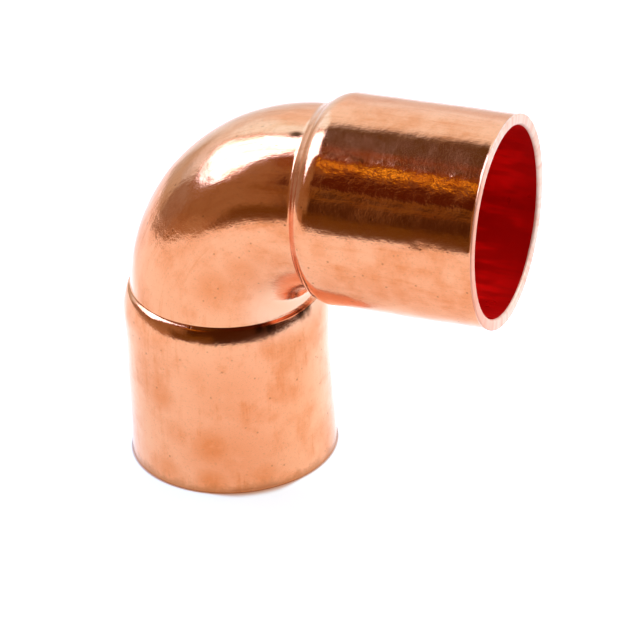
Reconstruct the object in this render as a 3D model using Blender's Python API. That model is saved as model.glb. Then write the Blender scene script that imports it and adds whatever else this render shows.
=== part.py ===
"""A copper pipe elbow: one tube bent through 90 degrees, with a solder socket at each end.

Units are metres and +Z is up. The elbow stands on its lower socket's mouth, in the plane z = 0.
The lower leg runs up, the bend turns it towards +X, and the side leg ends in a mouth that faces +X.
The origin is at the middle of the footprint of the elbow's box.
"""
import math

import bpy
from mathutils import Vector

# The tube that the elbow joins
TUBE_DIAMETER = 0.0220
SOLDER_GAP = 0.0001          # how much wider than the tube a socket's bore is

# The elbow's own driving dimensions
WALL = 0.0011
BEND_DIAMETER = 0.0212       # outside, in the bend between the sockets
BEND_RADIUS = 0.0135         # of the centreline
LEG = 0.0349                 # from the crossing of the two axes to either mouth
CREASE_DEPTH = 0.0217        # from a mouth to the foot of its shoulder
SHOULDER_LENGTH = 0.0031     # from the foot of the shoulder to the full socket
SHOULDER_CURVE = 2           # the power by which a shoulder narrows: 1 is a cone, 2 a rounded shoulder
RIM_CHAMFER = 0.00015        # on both edges of each mouth

# Mesh fineness
RING_POINTS = 48
SHOULDER_STEPS = 5
BEND_STEPS = 12
SHARP_EDGE_ANGLE = 30        # degrees: edges that turn by more are shaded sharp

SOCKET_RADIUS = (TUBE_DIAMETER + SOLDER_GAP) / 2 + WALL
STRAIGHT = LEG - BEND_RADIUS
ARC_LENGTH = BEND_RADIUS * math.pi / 2
CENTRELINE_LENGTH = 2 * STRAIGHT + ARC_LENGTH
LOWER_AXIS_X = -(LEG - SOCKET_RADIUS) / 2

COPPER = (0.93, 0.46, 0.27, 1.0)
COPPER_ROUGHNESS = 0.16


def clear_scene():
    """Remove every object that the file starts with."""
    for old in list(bpy.data.objects):
        bpy.data.objects.remove(old, do_unlink=True)


def centreline(distance):
    """The centreline's point at a distance from the lower mouth, and the outward side of the bend there."""
    if distance <= STRAIGHT:
        turn = 0.0
        run_on = Vector((0, 0, distance - STRAIGHT))
    elif distance <= STRAIGHT + ARC_LENGTH:
        turn = (distance - STRAIGHT) / BEND_RADIUS
        run_on = Vector((0, 0, 0))
    else:
        turn = math.pi / 2
        run_on = Vector((distance - STRAIGHT - ARC_LENGTH, 0, 0))
    bend_centre = Vector((LOWER_AXIS_X + BEND_RADIUS, 0, STRAIGHT))
    outward = Vector((-math.cos(turn), 0, math.sin(turn)))
    return bend_centre + outward * BEND_RADIUS + run_on, outward


def socket_stations():
    """One socket's outer skin from its mouth to the crease, as (distance from the mouth, radius)."""
    bend_radius = BEND_DIAMETER / 2
    stations = [(0.0, SOCKET_RADIUS - RIM_CHAMFER), (RIM_CHAMFER, SOCKET_RADIUS)]
    for step in range(SHOULDER_STEPS + 1):
        down = step / SHOULDER_STEPS
        distance = CREASE_DEPTH - SHOULDER_LENGTH * (1 - down)
        radius = SOCKET_RADIUS - (SOCKET_RADIUS - bend_radius) * down ** SHOULDER_CURVE
        stations.append((distance, radius))
    return stations


def outer_stations():
    """The outer skin from the lower mouth to the side mouth."""
    lower = socket_stations()
    side = [(CENTRELINE_LENGTH - distance, radius) for distance, radius in reversed(lower)]
    between = CENTRELINE_LENGTH - 2 * CREASE_DEPTH
    bend = []
    for step in range(1, BEND_STEPS):
        bend.append((CREASE_DEPTH + between * step / BEND_STEPS, BEND_DIAMETER / 2))
    return lower + bend + side


def inner_stations(outer):
    """The bore from the side mouth back to the lower mouth: the outer skin moved in by the wall."""
    bore = [(distance, radius - WALL) for distance, radius in reversed(outer)]
    chamfered = SOCKET_RADIUS - WALL + RIM_CHAMFER
    bore[0] = (CENTRELINE_LENGTH, chamfered)
    bore[-1] = (0.0, chamfered)
    return bore


def ring(distance, radius):
    """The points of one ring of the wall, square to the centreline."""
    centre, outward = centreline(distance)
    sideways = Vector((0, -1, 0))
    points = []
    for step in range(RING_POINTS):
        angle = 2 * math.pi * step / RING_POINTS
        points.append(centre + (outward * math.cos(angle) + sideways * math.sin(angle)) * radius)
    return points


def elbow_mesh():
    """The whole wall as one closed skin: out along the outside, over the rim and back along the bore."""
    outer = outer_stations()
    stations = outer + inner_stations(outer)
    points = []
    for distance, radius in stations:
        points.extend(ring(distance, radius))
    faces = []
    for row in range(len(stations)):
        this_row = row * RING_POINTS
        next_row = (row + 1) % len(stations) * RING_POINTS
        for step in range(RING_POINTS):
            after = (step + 1) % RING_POINTS
            faces.append((this_row + step, this_row + after, next_row + after, next_row + step))
    mesh = bpy.data.meshes.new("elbow_body")
    mesh.from_pydata(points, [], faces)
    mesh.shade_smooth()
    mesh.set_sharp_from_angle(angle=math.radians(SHARP_EDGE_ANGLE))
    return mesh


def copper_material():
    """Bright bare copper."""
    material = bpy.data.materials.new("bright_copper")
    material.use_nodes = True
    shader = material.node_tree.nodes["Principled BSDF"]
    shader.inputs["Base Color"].default_value = COPPER
    shader.inputs["Metallic"].default_value = 1.0
    shader.inputs["Roughness"].default_value = COPPER_ROUGHNESS
    return material


def main():
    clear_scene()
    elbow = bpy.data.objects.new("elbow_body", elbow_mesh())
    elbow.data.materials.append(copper_material())
    bpy.context.collection.objects.link(elbow)


main()
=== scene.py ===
"""The looks of the copper pipe elbow: its fine surface, its worn copper, the floor, the light, the camera.

Distances along the tube are measured on its centreline from the lower mouth. Angles round the tube are
measured from the bend's outer side, and 90 degrees is -Y.
"""
import math

import bpy
import numpy as np
from mathutils import Matrix, Vector, noise


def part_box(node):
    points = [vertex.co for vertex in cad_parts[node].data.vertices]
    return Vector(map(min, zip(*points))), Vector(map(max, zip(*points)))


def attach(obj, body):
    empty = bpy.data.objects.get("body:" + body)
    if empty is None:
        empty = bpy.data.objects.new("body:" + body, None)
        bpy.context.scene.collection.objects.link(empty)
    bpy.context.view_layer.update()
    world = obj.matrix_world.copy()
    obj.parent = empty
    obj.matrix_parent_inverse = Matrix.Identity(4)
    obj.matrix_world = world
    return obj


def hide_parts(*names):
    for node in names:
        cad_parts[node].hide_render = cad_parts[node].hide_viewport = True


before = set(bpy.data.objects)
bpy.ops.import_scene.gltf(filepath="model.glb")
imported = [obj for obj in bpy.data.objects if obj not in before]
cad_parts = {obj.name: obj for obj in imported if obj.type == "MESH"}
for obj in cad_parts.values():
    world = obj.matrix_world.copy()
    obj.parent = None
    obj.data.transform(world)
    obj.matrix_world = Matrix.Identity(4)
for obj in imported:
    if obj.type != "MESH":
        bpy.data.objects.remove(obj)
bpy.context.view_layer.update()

# Sizes from the CAD part's box, in metres
LOW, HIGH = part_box("elbow_body")
SOCKET_RADIUS = (HIGH[1] - LOW[1]) / 2
LOWER_AXIS_X = LOW[0] + SOCKET_RADIUS
LEG = HIGH[0] - LOWER_AXIS_X

# The rest of the elbow's own dimensions, in metres
WALL = 0.0011
BEND_TUBE_RADIUS = 0.0106
BEND_RADIUS = 0.0135
SIDE_SWELL = 0.00010         # how much the side socket's radius is over the lower one's
SIDE_STRETCH = 0.00020       # how much the side leg is longer than the lower one
RIM_OUTER_ROUND = 0.00018    # the radius of the outer edge of each rim
RIM_INNER_ROUND = 0.00035    # the radius of the inner edge of each rim
LIP_LENGTH = 0.0005          # how far a mouth's raised lip reaches from it
THROAT_LENGTH = 0.0070       # how far beyond each crease the tube comes to the bend's radius

# Each socket: how deep the crease lies behind the mouth, the tube's radius beyond the crease, the shoulder's
# length at the sides of the bend and how much longer it is on the bend's outer and inner side, the power by
# which it falls, the height and length of the steeper curl at its foot, half the length over which the
# crease is hollowed, and how far the socket is swollen and its lip raised
LOWER_SOCKET = {"crease": 0.0218, "throat": 0.0110, "shoulder": 0.0033, "outer": 0.0, "inner": 0.0006,
                "power": 2.0, "curl": 0.00036, "curl_length": 0.00042, "hollow": 0.00006,
                "swell": 0.0, "lip": 0.00005}
SIDE_SOCKET = {"crease": 0.0222, "throat": 0.0106, "shoulder": 0.00275, "outer": 0.0003, "inner": 0.0018,
               "power": 2.4, "curl": 0.0, "curl_length": 0.0006, "hollow": 0.00016,
               "swell": SIDE_SWELL, "lip": 0.00010}

# Mesh fineness: points round the tube, steps along it in metres, points on a rim's arc, and samples that
# a crease's hollow is averaged from
RING_POINTS = 256
LONG_STEP = 0.0005
FINE_STEP = 0.00007
ARC_POINTS = 6
HOLLOW_SAMPLES = 15

STRAIGHT = LEG - BEND_RADIUS
ARC_LENGTH = BEND_RADIUS * math.pi / 2
CENTRELINE_LENGTH = 2 * STRAIGHT + ARC_LENGTH + SIDE_STRETCH
RING_ANGLES = np.linspace(0, 2 * math.pi, RING_POINTS + 1)[:-1]

# Slow waves of the formed tube: their scale to the metre, their height in metres, and their own shift
WAVES = [
    (140, 0.00005, (0, 0, 0)),
    (420, 0.000015, (7, 3, 5)),
]

# Swellings and dents of the formed tube: distance along the tube and reach in metres, the angle
# round the tube in degrees, and the height, which is below zero for a dent
MARKS = [
    (0.0265, -8, 0.0050, 0.00022),
    (0.0385, -10, 0.0050, 0.00014),
    (0.0578, 78, 0.0007, -0.000035),
    (0.0561, 81, 0.0005, -0.000015),
    (0.0506, 44, 0.0016, -0.000020),
    (0.0594, 42, 0.0012, -0.000018),
    (0.0450, 38, 0.0010, 0.000018),
    (0.0067, 101, 0.0022, -0.000020),
]
MARK_FALL = 1.5              # how sharply a mark falls away from its middle


# ---- The elbow's surface ----

def centreline(distance):
    """The centreline's point at a distance from the lower mouth, and the outward side of the bend there."""
    turn = min(max((distance - STRAIGHT) / BEND_RADIUS, 0.0), math.pi / 2)
    before = min(distance - STRAIGHT, 0.0)
    after = max(distance - STRAIGHT - ARC_LENGTH, 0.0)
    bend_centre = Vector((LOWER_AXIS_X + BEND_RADIUS, 0, STRAIGHT))
    outward = Vector((-math.cos(turn), 0, math.sin(turn)))
    return bend_centre + outward * BEND_RADIUS + Vector((after, 0, before)), outward


def smooth_step(value):
    """The value held between 0 and 1, with a level start and end."""
    share = np.clip(value, 0.0, 1.0)
    return share * share * (3 - 2 * share)


def sharp_radius(depth, socket):
    """The outer radius round each ring at the given depths from the mouth, with a sharp crease."""
    lean = np.cos(RING_ANGLES)
    length = socket["shoulder"] + np.where(lean > 0, socket["outer"], socket["inner"]) * lean ** 2
    before_crease = socket["crease"] - depth[:, None]
    down = np.clip(1 - before_crease / length[None, :], 0.0, 1.0)
    curled = np.clip(1 - before_crease / socket["curl_length"], 0.0, 1.0)
    top = SOCKET_RADIUS + socket["swell"]
    drop = top - socket["throat"] - socket["curl"]
    return top - drop * down ** socket["power"] - socket["curl"] * curled ** 2


def skin_radius(depth, socket):
    """The outer radius round each ring, with the crease hollowed out and the mouth's lip raised."""
    offsets = np.linspace(-socket["hollow"], socket["hollow"], HOLLOW_SAMPLES)
    hollowed = np.mean([sharp_radius(depth + offset, socket) for offset in offsets], axis=0)
    lip = socket["lip"] * np.clip(1 - depth / LIP_LENGTH, 0.0, 1.0) ** 2
    return hollowed + lip[:, None]


def bend_radius(distance, start, end):
    """The tube's outer radius along the bend, which narrows from each throat to the middle."""
    narrowing = BEND_TUBE_RADIUS - LOWER_SOCKET["throat"], BEND_TUBE_RADIUS - SIDE_SOCKET["throat"]
    near_lower = 1 - smooth_step((distance - start) / THROAT_LENGTH)
    near_side = 1 - smooth_step((end - distance) / THROAT_LENGTH)
    return BEND_TUBE_RADIUS - narrowing[0] * near_lower - narrowing[1] * near_side


def socket_depths(socket):
    """Depths from behind the rim's rounding to behind the crease, closer together where the skin curves."""
    longest = socket["shoulder"] + max(socket["outer"], socket["inner"])
    shoulder_start = socket["crease"] - longest - socket["hollow"]
    lip = np.arange(RIM_OUTER_ROUND + FINE_STEP, LIP_LENGTH, FINE_STEP)
    tube = np.arange(LIP_LENGTH, shoulder_start, LONG_STEP)
    shoulder = np.arange(shoulder_start, socket["crease"] + socket["hollow"] + FINE_STEP, FINE_STEP)
    return np.concatenate([lip, tube, shoulder])


def rim_arcs(socket):
    """The rim's two rounded edges as rows of (depth, radius): outside from the skin, inside from the face."""
    turns = np.linspace(0, math.pi / 2, ARC_POINTS)
    lip_radius = SOCKET_RADIUS + socket["swell"] + socket["lip"]
    bore_radius = SOCKET_RADIUS - WALL
    outside = [(RIM_OUTER_ROUND * (1 - math.sin(t)), lip_radius - RIM_OUTER_ROUND * (1 - math.cos(t)))
               for t in turns]
    inside = [(RIM_INNER_ROUND * (1 - math.cos(t)), bore_radius + RIM_INNER_ROUND * (1 - math.sin(t)))
              for t in turns]
    return outside, inside


def wall_section():
    """The closed section of the wall as rows of (distance from the lower mouth, radii round the ring,
    finish of the faces from this row to the next)."""
    lower_outside, lower_inside = rim_arcs(LOWER_SOCKET)
    side_outside, side_inside = rim_arcs(SIDE_SOCKET)
    lower = socket_depths(LOWER_SOCKET)
    side = socket_depths(SIDE_SOCKET)
    start, end = lower[-1], CENTRELINE_LENGTH - side[-1]
    skin = list(zip(lower, skin_radius(lower, LOWER_SOCKET)))
    for distance in np.arange(start + LONG_STEP, end - LONG_STEP / 2, LONG_STEP):
        skin.append((distance, np.full(RING_POINTS, bend_radius(distance, start, end))))
    skin += list(zip(CENTRELINE_LENGTH - side[::-1], skin_radius(side, SIDE_SOCKET)[::-1]))
    bore_start, bore_end = RIM_INNER_ROUND, CENTRELINE_LENGTH - RIM_INNER_ROUND
    bore = [(d, np.minimum(r, SOCKET_RADIUS) - WALL) for d, r in reversed(skin) if bore_start < d < bore_end]
    rows = [(d, np.full(RING_POINTS, r), "skin") for d, r in reversed(lower_outside)]
    rows += [(d, radii, "skin") for d, radii in skin]
    rows += [(CENTRELINE_LENGTH - d, np.full(RING_POINTS, r), "rim") for d, r in side_outside + side_inside]
    rows[-1] = rows[-1][:2] + ("bore",)
    rows += [(d, radii, "bore") for d, radii in bore]
    rows += [(d, np.full(RING_POINTS, r), "rim") for d, r in reversed(lower_inside)]
    return rows


def unevenness(point, distance, angle):
    """How far the skin stands out from the true shape at a point: slow waves, and the marks."""
    waves = sum(height * noise.noise(point * scale + Vector(shift)) for scale, height, shift in WAVES)
    for mark_distance, mark_angle, reach, height in MARKS:
        along = distance - mark_distance
        if abs(along) > 2 * reach:
            continue
        turn = (angle - math.radians(mark_angle) + math.pi) % (2 * math.pi) - math.pi
        apart = math.hypot(along, turn * SOCKET_RADIUS) / reach
        waves += height * math.exp(-apart * apart * MARK_FALL)
    return waves


def elbow_surface():
    """The whole wall as one closed mesh, with each point's place on the tube as if it were straight."""
    rows = wall_section()
    points, straight = [], []
    sideways = Vector((0, -1, 0))
    for distance, radii, _ in rows:
        centre, outward = centreline(distance)
        for angle, radius in zip(RING_ANGLES, radii):
            ray = outward * math.cos(angle) + sideways * math.sin(angle)
            raised = radius + unevenness(centre + ray * SOCKET_RADIUS, distance, angle)
            points.append(centre + ray * raised)
            straight.extend((math.cos(angle) * SOCKET_RADIUS, math.sin(angle) * SOCKET_RADIUS, distance))
    finishes = {"skin": copper_skin(), "rim": cut_edge(), "bore": red_bore()}
    faces, slots = [], []
    for row, (_, _, finish) in enumerate(rows):
        this_row = row * RING_POINTS
        next_row = (row + 1) % len(rows) * RING_POINTS
        for step in range(RING_POINTS):
            after = (step + 1) % RING_POINTS
            faces.append((this_row + step, this_row + after, next_row + after, next_row + step))
            slots.append(list(finishes).index(finish))
    mesh = bpy.data.meshes.new("elbow_wall")
    mesh.from_pydata(points, [], faces)
    mesh.attributes.new("straight", "FLOAT_VECTOR", "POINT").data.foreach_set("vector", straight)
    for material in finishes.values():
        mesh.materials.append(material)
    mesh.polygons.foreach_set("material_index", slots)
    mesh.shade_smooth()
    elbow = bpy.data.objects.new("elbow_wall", mesh)
    bpy.context.collection.objects.link(elbow)
    return elbow


# ---- Node graphs ----

class Graph:
    """Short names for the few node kinds that the world and the materials use."""

    def __init__(self, tree):
        self.tree = tree

    def node(self, kind, **settings):
        made = self.tree.nodes.new(kind)
        for name, value in settings.items():
            setattr(made, name, value)
        return made

    def plug(self, socket, value):
        if isinstance(value, bpy.types.NodeSocket):
            self.tree.links.new(value, socket)
        else:
            socket.default_value = value

    def math(self, operation, *values):
        made = self.node("ShaderNodeMath", operation=operation)
        for socket, value in zip(made.inputs, values):
            self.plug(socket, value)
        return made.outputs[0]

    def total(self, *values):
        result = values[0]
        for value in values[1:]:
            result = self.math("ADD", result, value)
        return result

    def product(self, *values):
        result = values[0]
        for value in values[1:]:
            result = self.math("MULTIPLY", result, value)
        return result

    def parts(self, vector):
        made = self.node("ShaderNodeSeparateXYZ")
        self.plug(made.inputs[0], vector)
        return made.outputs

    def distance(self, point, centre):
        made = self.node("ShaderNodeVectorMath", operation="DISTANCE")
        self.plug(made.inputs[0], point)
        self.plug(made.inputs[1], centre)
        return made.outputs["Value"]

    def aside(self, value, middle):
        """How far a value is from a middle, either way."""
        return self.math("ABSOLUTE", self.math("SUBTRACT", value, middle))

    def bump(self, shader, height, distance):
        made = self.node("ShaderNodeBump")
        self.plug(made.inputs["Height"], height)
        self.plug(made.inputs["Distance"], distance)
        self.plug(shader.inputs["Normal"], made.outputs[0])

    def stretch(self, vector, factors):
        made = self.node("ShaderNodeVectorMath", operation="MULTIPLY")
        self.plug(made.inputs[0], vector)
        self.plug(made.inputs[1], factors)
        return made.outputs[0]

    def fade(self, value, low, high, start=0.0, end=1.0):
        """From start at low to end at high, level at both ends."""
        made = self.node("ShaderNodeMapRange", interpolation_type="SMOOTHSTEP")
        for socket, given in zip(made.inputs, (value, low, high, start, end)):
            self.plug(socket, given)
        return made.outputs[0]

    def mix(self, share, first, second):
        made = self.node("ShaderNodeMix", data_type="RGBA")
        self.plug(made.inputs[0], share)
        self.plug(made.inputs[6], first)
        self.plug(made.inputs[7], second)
        return made.outputs[2]

    def noise(self, vector, scale, detail=2.0, rough=0.5):
        made = self.node("ShaderNodeTexNoise")
        self.plug(made.inputs["Vector"], vector)
        self.plug(made.inputs["Scale"], scale)
        self.plug(made.inputs["Detail"], detail)
        self.plug(made.inputs["Roughness"], rough)
        return made.outputs["Fac"]


def grey(level):
    """A neutral colour."""
    return (level, level, level, 1)


# ---- Materials ----

# Places are in millimetres and noise scales are to the millimetre. Heights are in units of BUMP_HEIGHT.
MILLIMETRES = (1000, 1000, 1000)
CLEAN_COPPER = (0.93, 0.42, 0.225, 1)
STAINED_COPPER = (0.78, 0.25, 0.085, 1)
# Tarnish on the grain and specks, also the colour of the painted shade at the lower mouth
TARNISH_AND_SHADE = (0.40, 0.14, 0.045, 1)
PALE_COPPER = (0.99, 0.62, 0.44, 1)
# The colour of the painted shade in the creases
CREASE_SHADE = (0.15, 0.050, 0.015, 1)
CUT_COPPER = (0.97, 0.73, 0.61, 1)
CUT_COPPER_DULL = (0.90, 0.50, 0.37, 1)
RIM_RED = (0.93, 0.36, 0.21, 1)
BORE_RED = (1.0, 0.008, 0.007, 1)
BORE_DARK_RED = (0.50, 0.002, 0.002, 1)
BUMP_HEIGHT = 0.00001        # in metres

# The ring of painted shade at the lower mouth, the dark contact line as the copper would reflect it: its
# least and greatest reach in millimetres, and its strength
LOWER_MOUTH_SHADE_REACH = (0.9, 2.2)
LOWER_MOUTH_SHADE_STRENGTH = 0.70

# The paler copper in the bend's inner corner, in millimetres: the middle of its length along the tube, how
# far from there it starts to fade and is gone, and on the straightened tube, whose x is below zero on the
# bend's inner side, the x where it is full and where it is gone
CORNER_MIDDLE = 33.0
CORNER_FADE = (10.0, 15.0)
CORNER_SIDE = (-10.5, -5.0)
CORNER_STRENGTH = 0.9

# Where the rims are redder, in millimetres from the axis towards -Y, and how much redder
RIM_RED_SIDE = (3.0, 12.0)
RIM_RED_STRENGTH = 0.85

# The bore's shade just inside the side mouth: its depth in millimetres, and the brightness at the mouth
BORE_SHADE_DEPTH = 4.5
BORE_SHADE = 0.35

# Stains on the skin: distance along the tube and reach in millimetres, the angle round the tube in degrees,
# and how strong the stain is
STAINS = [
    (5.0, 110, 7.5, 0.62),
    (13.0, 112, 6.5, 0.45),
    (1.5, 100, 3.2, 1.00),
    (2.0, 128, 2.8, 0.80),
    (2.0, 72, 2.8, 0.80),
    (6.2, 101, 3.9, 1.00),
    (7.6, 80, 2.4, 0.50),
    (12.0, 71, 2.6, 0.80),
    (11.4, 113, 2.4, 0.55),
    (15.5, 96, 2.6, 0.40),
    (3.0, 120, 2.2, 0.55),
    (28.0, 100, 4.2, 0.75),
    (33.2, 106, 3.8, 0.65),
    (37.0, 101, 3.0, 0.45),
    (37.4, 131, 1.3, 0.60),
    (52.0, 104, 2.8, 0.60),
    (47.0, 112, 2.0, 0.50),
    (57.0, 107, 2.0, 0.35),
    (50.0, 131, 4.5, 0.65),
    (58.0, 131, 4.0, 0.55),
    (36.0, 150, 4.5, 0.70),
    (33.0, 124, 3.5, 0.50),
]
# Stains and the spots of painted crease shade fade the same way
STAIN_FADE = (0.6, 1.7)      # where a stain starts to fade and where it is gone, in times its reach

# Painted shade in the creases, dark spots that stand for dark reflections there, in the same form
CREASE_SHADE_SPOTS = [
    (41.5, 22, 0.60, 1.00),
    (21.3, 132, 0.85, 0.90),
    (21.2, 138, 0.95, 0.90),
    (21.2, 161, 1.00, 0.90),
    (21.2, 167, 1.00, 0.90),
]

# Where the skin is hammered rough: distance along the tube and half its length in millimetres, the angle
# round the tube and half its width in degrees, and how strong it is
ROUGH_ZONES = [
    (54.5, 10.5, 48, 12, 1.0),
    (30.5, 3.6, 42, 26, 0.8),
]
ZONE_LENGTH_FADE = (0.7, 1.2)  # where a zone starts to fade and is gone, in times half its length
ZONE_WIDTH_FADE = (0.6, 1.1)   # the same, in times half its width


def new_material(name, metallic):
    """A material, its graph, its Principled shader and the place on the straightened tube in millimetres."""
    material = bpy.data.materials.new(name)
    material.use_nodes = True
    graph = Graph(material.node_tree)
    shader = material.node_tree.nodes["Principled BSDF"]
    shader.inputs["Metallic"].default_value = metallic
    straight = graph.node("ShaderNodeAttribute", attribute_name="straight").outputs["Vector"]
    return material, graph, shader, graph.stretch(straight, MILLIMETRES)


def stain_and_shade_share(graph, place, stains, ragged):
    """How much of the skin a list of spots covers, 0 to 1, with ragged edges: the stains, and the painted
    shade in the creases.
    """
    share = 0.0
    round_tube = SOCKET_RADIUS * MILLIMETRES[0]
    starts, gone = STAIN_FADE
    for distance, angle, reach, strength in stains:
        turn = math.radians(angle)
        middle = (round_tube * math.cos(turn), round_tube * math.sin(turn), distance)
        edge = graph.total(graph.distance(place, middle), graph.product(ragged, reach))
        share = graph.math("MAXIMUM", share, graph.fade(edge, reach * starts, reach * gone, strength, 0.0))
    return share


def rough_share(graph, place):
    """How hammered the skin is, 0 to 1, from the list of rough zones."""
    x, y, along = graph.parts(place)
    angle = graph.math("DEGREES", graph.math("ARCTAN2", y, x))
    share = 0.0
    for distance, half_length, middle, half_width, strength in ROUGH_ZONES:
        length_fade = [half_length * times for times in ZONE_LENGTH_FADE]
        width_fade = [half_width * times for times in ZONE_WIDTH_FADE]
        long = graph.fade(graph.aside(along, distance), *length_fade, 1.0, 0.0)
        wide = graph.fade(graph.aside(angle, middle), *width_fade, strength, 0.0)
        share = graph.math("MAXIMUM", share, graph.product(long, wide))
    return share


def speck_share(graph, place):
    """Small dark specks, scattered: 1 in a speck's middle, 0 outside it."""
    cells = graph.node("ShaderNodeTexVoronoi")
    graph.plug(cells.inputs["Vector"], place)
    graph.plug(cells.inputs["Scale"], 0.85)
    pick = graph.node("ShaderNodeSeparateColor")
    graph.plug(pick.inputs[0], cells.outputs["Color"])
    chosen = graph.math("GREATER_THAN", pick.outputs[0], 0.62)
    return graph.product(chosen, graph.fade(cells.outputs["Distance"], 0.05, 0.17, 1.0, 0.0))


def discoloured_share(graph, place, mottling):
    """How far the skin is from clean, 0 to 1: the listed stains, clouds, and streaks along the tube."""
    clouds = graph.fade(graph.noise(place, 0.22, 4.0, 0.6), 0.38, 0.66, 0.05, 0.60)
    streaks = graph.noise(graph.stretch(place, (1.0, 1.0, 0.10)), 1.3, 3.0, 0.6)
    streaks = graph.fade(streaks, 0.50, 0.72, 0.0, 0.25)
    share = graph.math("MAXIMUM", stain_and_shade_share(graph, place, STAINS, mottling), graph.total(clouds, streaks))
    return graph.math("MINIMUM", graph.product(share, graph.fade(mottling, 0.25, 0.75, 0.7, 1.25)), 1.0)


def skin_colour(graph, place, mottling, grain, specks, discoloured):
    """Clean copper, then the stains, the grain, the specks, the ring of painted shade at the lower mouth, the
    inner corner, and the painted shade in the creases.
    """
    x, _, along = graph.parts(place)
    mouth_shade_reach = graph.fade(mottling, 0.2, 0.8, *LOWER_MOUTH_SHADE_REACH)
    mouth_shade = graph.fade(along, 0.0, mouth_shade_reach, LOWER_MOUTH_SHADE_STRENGTH, 0.0)
    inner_side = graph.fade(x, *CORNER_SIDE, CORNER_STRENGTH, 0.0)
    in_corner = graph.fade(graph.aside(along, CORNER_MIDDLE), *CORNER_FADE, 1.0, 0.0)
    colour = graph.mix(discoloured, CLEAN_COPPER, STAINED_COPPER)
    colour = graph.mix(graph.fade(grain, 0.52, 0.80, 0.0, 0.22), colour, TARNISH_AND_SHADE)
    colour = graph.mix(graph.product(specks, 0.6), colour, TARNISH_AND_SHADE)
    # Painted shade: the dark contact line as the copper at the lower mouth would reflect it
    colour = graph.mix(mouth_shade, colour, TARNISH_AND_SHADE)
    colour = graph.mix(graph.product(inner_side, in_corner), colour, PALE_COPPER)
    # Painted shade: dark spots in the creases that stand for dark reflections
    return graph.mix(stain_and_shade_share(graph, place, CREASE_SHADE_SPOTS, mottling), colour, CREASE_SHADE)


def skin_height(graph, place, grain, specks):
    """The skin's fine relief: ripples, drawing lines, grain, pits at the specks, and the hammered zones."""
    ripples = graph.noise(place, 0.9, 3.0, 0.55)
    lines = graph.noise(graph.stretch(place, (1.0, 1.0, 0.03)), 6.0, 2.0, 0.6)
    hammering = graph.noise(place, 0.42, 2.5, 0.58)
    hammered = graph.total(graph.product(hammering, 11.0), graph.product(grain, 0.9))
    return graph.total(graph.product(ripples, 2.2), graph.product(lines, 0.30), graph.product(grain, 0.45),
                       graph.product(specks, -0.6), graph.product(rough_share(graph, place), hammered))


def copper_skin():
    """Bright drawn copper with stains, specks, tarnished grain, fine drawing lines and ripples."""
    material, graph, shader, place = new_material("copper_skin", 1.0)
    mottling = graph.noise(place, 0.75, 3.0, 0.6)
    grain = graph.noise(place, 4.0, 2.0, 0.6)
    specks = speck_share(graph, place)
    discoloured = discoloured_share(graph, place, mottling)
    roughness = graph.total(0.09, graph.product(discoloured, 0.06), graph.product(grain, 0.06))
    graph.plug(shader.inputs["Base Color"], skin_colour(graph, place, mottling, grain, specks, discoloured))
    graph.plug(shader.inputs["Roughness"], roughness)
    graph.bump(shader, skin_height(graph, place, grain, specks), BUMP_HEIGHT)
    shader.inputs["Coat Weight"].default_value = 0.025
    shader.inputs["Coat Roughness"].default_value = 0.25
    shader.inputs["Coat IOR"].default_value = 1.6
    return material


def cut_edge():
    """The pale, finely ground metal of the trimmed and deburred rims, redder on the -Y side."""
    material, graph, shader, place = new_material("cut_edge", 0.30)
    _, y, _ = graph.parts(place)
    wear = graph.noise(place, 1.1, 4.0, 0.65)
    colour = graph.mix(graph.fade(wear, 0.40, 0.75), CUT_COPPER, CUT_COPPER_DULL)
    colour = graph.mix(graph.fade(y, *RIM_RED_SIDE, 0.0, RIM_RED_STRENGTH), colour, RIM_RED)
    graph.plug(shader.inputs["Base Color"], colour)
    graph.plug(shader.inputs["Roughness"], graph.fade(wear, 0.2, 0.8, 0.32, 0.50))
    graph.bump(shader, graph.noise(place, 5.0, 2.0, 0.6), BUMP_HEIGHT * 0.5)
    return material


def red_bore():
    """The bore's deep red, a painted reflection of copper seen by copper over and over, with bright lines
    along the tube.
    """
    material, graph, shader, place = new_material("red_bore", 0.30)
    _, _, along = graph.parts(place)
    depth = graph.math("SUBTRACT", CENTRELINE_LENGTH * MILLIMETRES[2], along)
    lines = graph.noise(graph.stretch(place, (1.0, 1.0, 0.22)), 0.50, 2.0, 0.5)
    mottling = graph.noise(place, 0.30, 2.0, 0.5)
    streaks = graph.fade(graph.fade(lines, 0.36, 0.64), 0.0, 1.0, 0.25, 1.0)
    patches = graph.fade(mottling, 0.36, 0.64, 0.60, 1.0)
    near_mouth = graph.fade(depth, 0.0, BORE_SHADE_DEPTH, BORE_SHADE, 1.0)
    bright = graph.product(streaks, patches, near_mouth)
    # Painted reflection: the red of copper seen by copper over and over
    graph.plug(shader.inputs["Base Color"], graph.mix(bright, BORE_DARK_RED, BORE_RED))
    graph.plug(shader.inputs["Roughness"], graph.fade(mottling, 0.2, 0.8, 0.25, 0.45))
    graph.bump(shader, lines, BUMP_HEIGHT * 8)
    shader.inputs["Specular IOR Level"].default_value = 0.15
    return material


# ---- Floor ----

# Lengths are in metres. The sheet gives off its own light. The contact is a painted shadow, the dark line
# where the elbow stands, and the shadow is a painted shadow where that line is wider. The glow is a painted
# pool of light on the sheet behind the elbow.
FLOOR_RADIUS = 0.26
FLOOR_POINTS = 96
FLOOR_WHITE = 0.72
CONTACT_SHADOW_COLOUR = (0.35, 0.15, 0.07, 1)
CONTACT_REACH = 0.00035
SHADOW_AZIMUTH = 34
SHADOW_REACH = 0.0009
SHADOW_FULL_WIDTH = 0.00186  # half the width over which the shadow is at its widest
SHADOW_HALF_WIDTH = 0.0062
GLOW_AZIMUTH = -150
GLOW_AWAY = 0.045
BACK_GLOW = (1.06, 1.60, 2.05, 1)
GLOW_NEAR = 0.012
GLOW_FAR = 0.062


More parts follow.
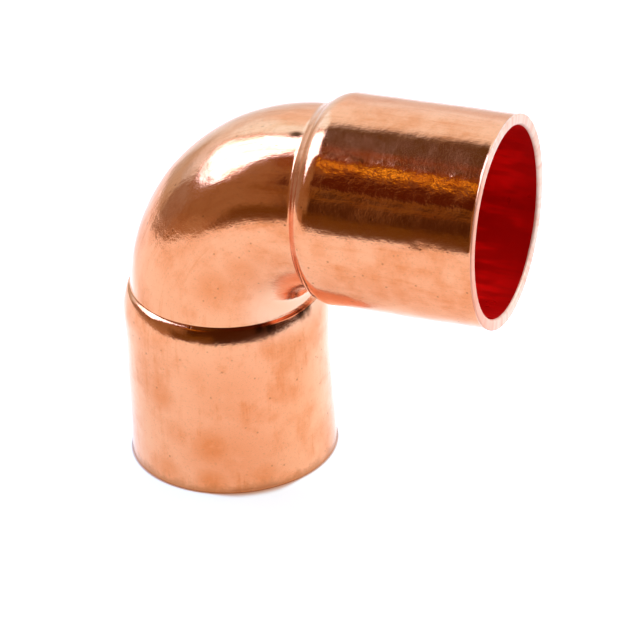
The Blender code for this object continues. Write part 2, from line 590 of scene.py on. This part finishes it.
def floor_paper():
    """A white sheet giving off its own light, with a painted pool of light behind the object, towards the
    softbox, and a painted shadow where the elbow touches it.
    """
    material = bpy.data.materials.new("white_floor")
    material.use_nodes = True
    graph = Graph(material.node_tree)
    shader = material.node_tree.nodes["Principled BSDF"]
    shader.inputs["Base Color"].default_value = grey(0.4)
    shader.inputs["Roughness"].default_value = 0.8
    place = graph.node("ShaderNodeTexCoord").outputs["Object"]
    glow = graph.distance(place, look_at(GLOW_AZIMUTH, 0) * GLOW_AWAY)
    behind = graph.fade(glow, GLOW_NEAR, GLOW_FAR, 1.0, 0.0)
    axis_foot = Vector((LOWER_AXIS_X, 0, 0))
    front = graph.distance(place, axis_foot + look_at(SHADOW_AZIMUTH, 0) * SOCKET_RADIUS)
    shadow = graph.fade(front, SHADOW_FULL_WIDTH, SHADOW_HALF_WIDTH, SHADOW_REACH, 0.0)
    reach = graph.total(SOCKET_RADIUS + CONTACT_REACH, shadow)
    clear = graph.fade(graph.distance(place, axis_foot), SOCKET_RADIUS, reach)
    colour = graph.mix(behind, grey(FLOOR_WHITE), BACK_GLOW)
    # Painted shadow where the elbow stands and a painted pool of light behind it, drawn in the sheet's own
    # light
    graph.plug(shader.inputs["Emission Color"], graph.mix(clear, CONTACT_SHADOW_COLOUR, colour))
    shader.inputs["Emission Strength"].default_value = 1.0
    return material


def white_floor():
    """A round sheet under the elbow."""
    turns = np.linspace(0, 2 * math.pi, FLOOR_POINTS + 1)[:-1]
    edge = [(FLOOR_RADIUS * math.cos(t), FLOOR_RADIUS * math.sin(t), 0) for t in turns]
    mesh = bpy.data.meshes.new("floor")
    mesh.from_pydata(edge, [], [tuple(range(len(edge)))])
    mesh.materials.append(floor_paper())
    floor = bpy.data.objects.new("floor", mesh)
    bpy.context.collection.objects.link(floor)


# ---- Light ----

def look_at(azimuth, elevation):
    """The direction from the object towards an azimuth (0 is -Y, 90 is +X) and elevation, in degrees."""
    a, e = math.radians(azimuth), math.radians(elevation)
    return Vector((math.sin(a) * math.cos(e), -math.cos(a) * math.cos(e), math.sin(e)))


ROOM = (0.060, 0.018, 0.002, 1)
CAMERA_WHITE = grey(1.1)

# What stands round the object, each over the ones before it: the azimuth of its middle and half its
# width, its lowest and highest elevation, how softly it ends, all in degrees, and its colour
SURROUNDINGS = [
    (-62, 38, -30, 54, 6, (0.32, 0.20, 0.10, 1)),     # warm wall on the left
    (-24, 12, 32, 49, 4, (0.085, 0.014, 0.001, 1)),   # the wall's dark corner
    (-62, 38, -12, 1, 3, (0.42, 0.28, 0.16, 1)),      # the wall's lit foot
    (-110, 40, 61, 100, 3, (0.105, 0.052, 0.005, 1)),  # ceiling
    (-45, 32, 50, 71, 4, (0.24, 0.080, 0.004, 1)),    # wooden beam
    (-35, 8, 56.3, 58.8, 1, (2.10, 1.35, 0.11, 1)),   # golden lamp on the beam
    (-22, 24, 24.5, 28.5, 1.5, (0.23, 0.11, 0.02, 1)),  # shelf edge
    (-17, 24, -7, 8, 3, (0.15, 0.07, 0.008, 1)),      # table behind the camera
    (-168, 50, -30, 59, 3, (0.86, 0.84, 0.82, 1)),    # backdrop
    (-160, 42, 14, 57, 6, (1.05, 1.25, 1.42, 1)),     # the backdrop's lit upper part
    (-140, 17, -16, 22, 6, (0.92, 1.15, 1.30, 1)),    # the backdrop's middle
    (-129, 9, 20, 56, 4, (1.12, 1.80, 2.50, 1)),      # the softbox's light on the backdrop
    (-118, 15, -12, 10, 4, (0.60, 0.58, 0.50, 1)),    # the backdrop's shaded side
    (-110, 11, 10, 30, 5, (0.86, 1.05, 1.25, 1)),     # the softbox's light below it
    (-120, 5, 56, 66, 2, (0.10, 0.05, 0.02, 1)),      # the ceiling's near corner
    (-90, 12, -8, 14, 4, (0.36, 0.29, 0.24, 1)),      # stand of the softbox
    (-118.5, 2, 30, 60, 1.2, (0.60, 0.50, 0.38, 1)),  # gap beside the softbox
    (-93.5, 22, 23, 64, 2, (3.20, 4.20, 7.00, 1)),    # softbox
    (112, 30, 15, 60, 5, grey(3.9)),                  # wide lamp on the right
    (0, 190, -100, -10, 1.5, grey(1.0)),              # the white sheet beyond the floor
]


def studio():
    """The world: the surroundings as reflections and light, and plain white behind the object."""
    world = bpy.data.worlds.new("studio")
    bpy.context.scene.world = world
    world.use_nodes = True
    tree = world.node_tree
    tree.nodes.clear()
    graph = Graph(tree)
    x, y, z = graph.parts(graph.node("ShaderNodeTexCoord").outputs["Generated"])
    azimuth = graph.math("DEGREES", graph.math("ARCTAN2", x, graph.product(y, -1.0)))
    elevation = graph.math("DEGREES", graph.math("ARCSINE", z))
    colour = ROOM
    for middle, half, low, high, soft, light in SURROUNDINGS:
        turn = graph.math("WRAP", graph.math("SUBTRACT", azimuth, middle), 180.0, -180.0)
        wide = graph.fade(graph.math("ABSOLUTE", turn), half - soft, half + soft, 1.0, 0.0)
        above = graph.fade(elevation, low - soft, low + soft)
        below = graph.fade(elevation, high - soft, high + soft, 1.0, 0.0)
        colour = graph.mix(graph.product(wide, above, below), colour, light)
    seen = graph.node("ShaderNodeLightPath").outputs["Is Camera Ray"]
    colour = graph.mix(seen, colour, CAMERA_WHITE)
    background = graph.node("ShaderNodeBackground")
    graph.plug(background.inputs["Color"], colour)
    output = graph.node("ShaderNodeOutputWorld")
    tree.links.new(background.outputs[0], output.inputs[0])


# ---- Camera ----

CAMERA_AZIMUTH = 22.53
CAMERA_ELEVATION = 30.16
CAMERA_ROLL = -2.93
CAMERA_DISTANCE = 0.48951
CAMERA_LENS = 239.7
CAMERA_AIM = Vector((0.001814, -0.003596, 0.020579))


def camera():
    """The camera, turned to the aim and rolled a little."""
    data = bpy.data.cameras.new("camera")
    data.sensor_width = 36.0
    data.lens = CAMERA_LENS
    data.clip_start = 0.01
    data.clip_end = 10
    made = bpy.data.objects.new("camera", data)
    bpy.context.collection.objects.link(made)
    back = look_at(CAMERA_AZIMUTH, CAMERA_ELEVATION)
    roll = Matrix.Rotation(math.radians(CAMERA_ROLL), 4, "Z")
    turn = back.to_track_quat("Z", "Y").to_matrix().to_4x4() @ roll
    made.matrix_world = Matrix.Translation(CAMERA_AIM + back * CAMERA_DISTANCE) @ turn
    bpy.context.scene.camera = made


camera()
studio()
white_floor()
bpy.context.scene.view_settings.view_transform = "Standard"
elbow = elbow_surface()
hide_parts("elbow_body")
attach(elbow, "root")
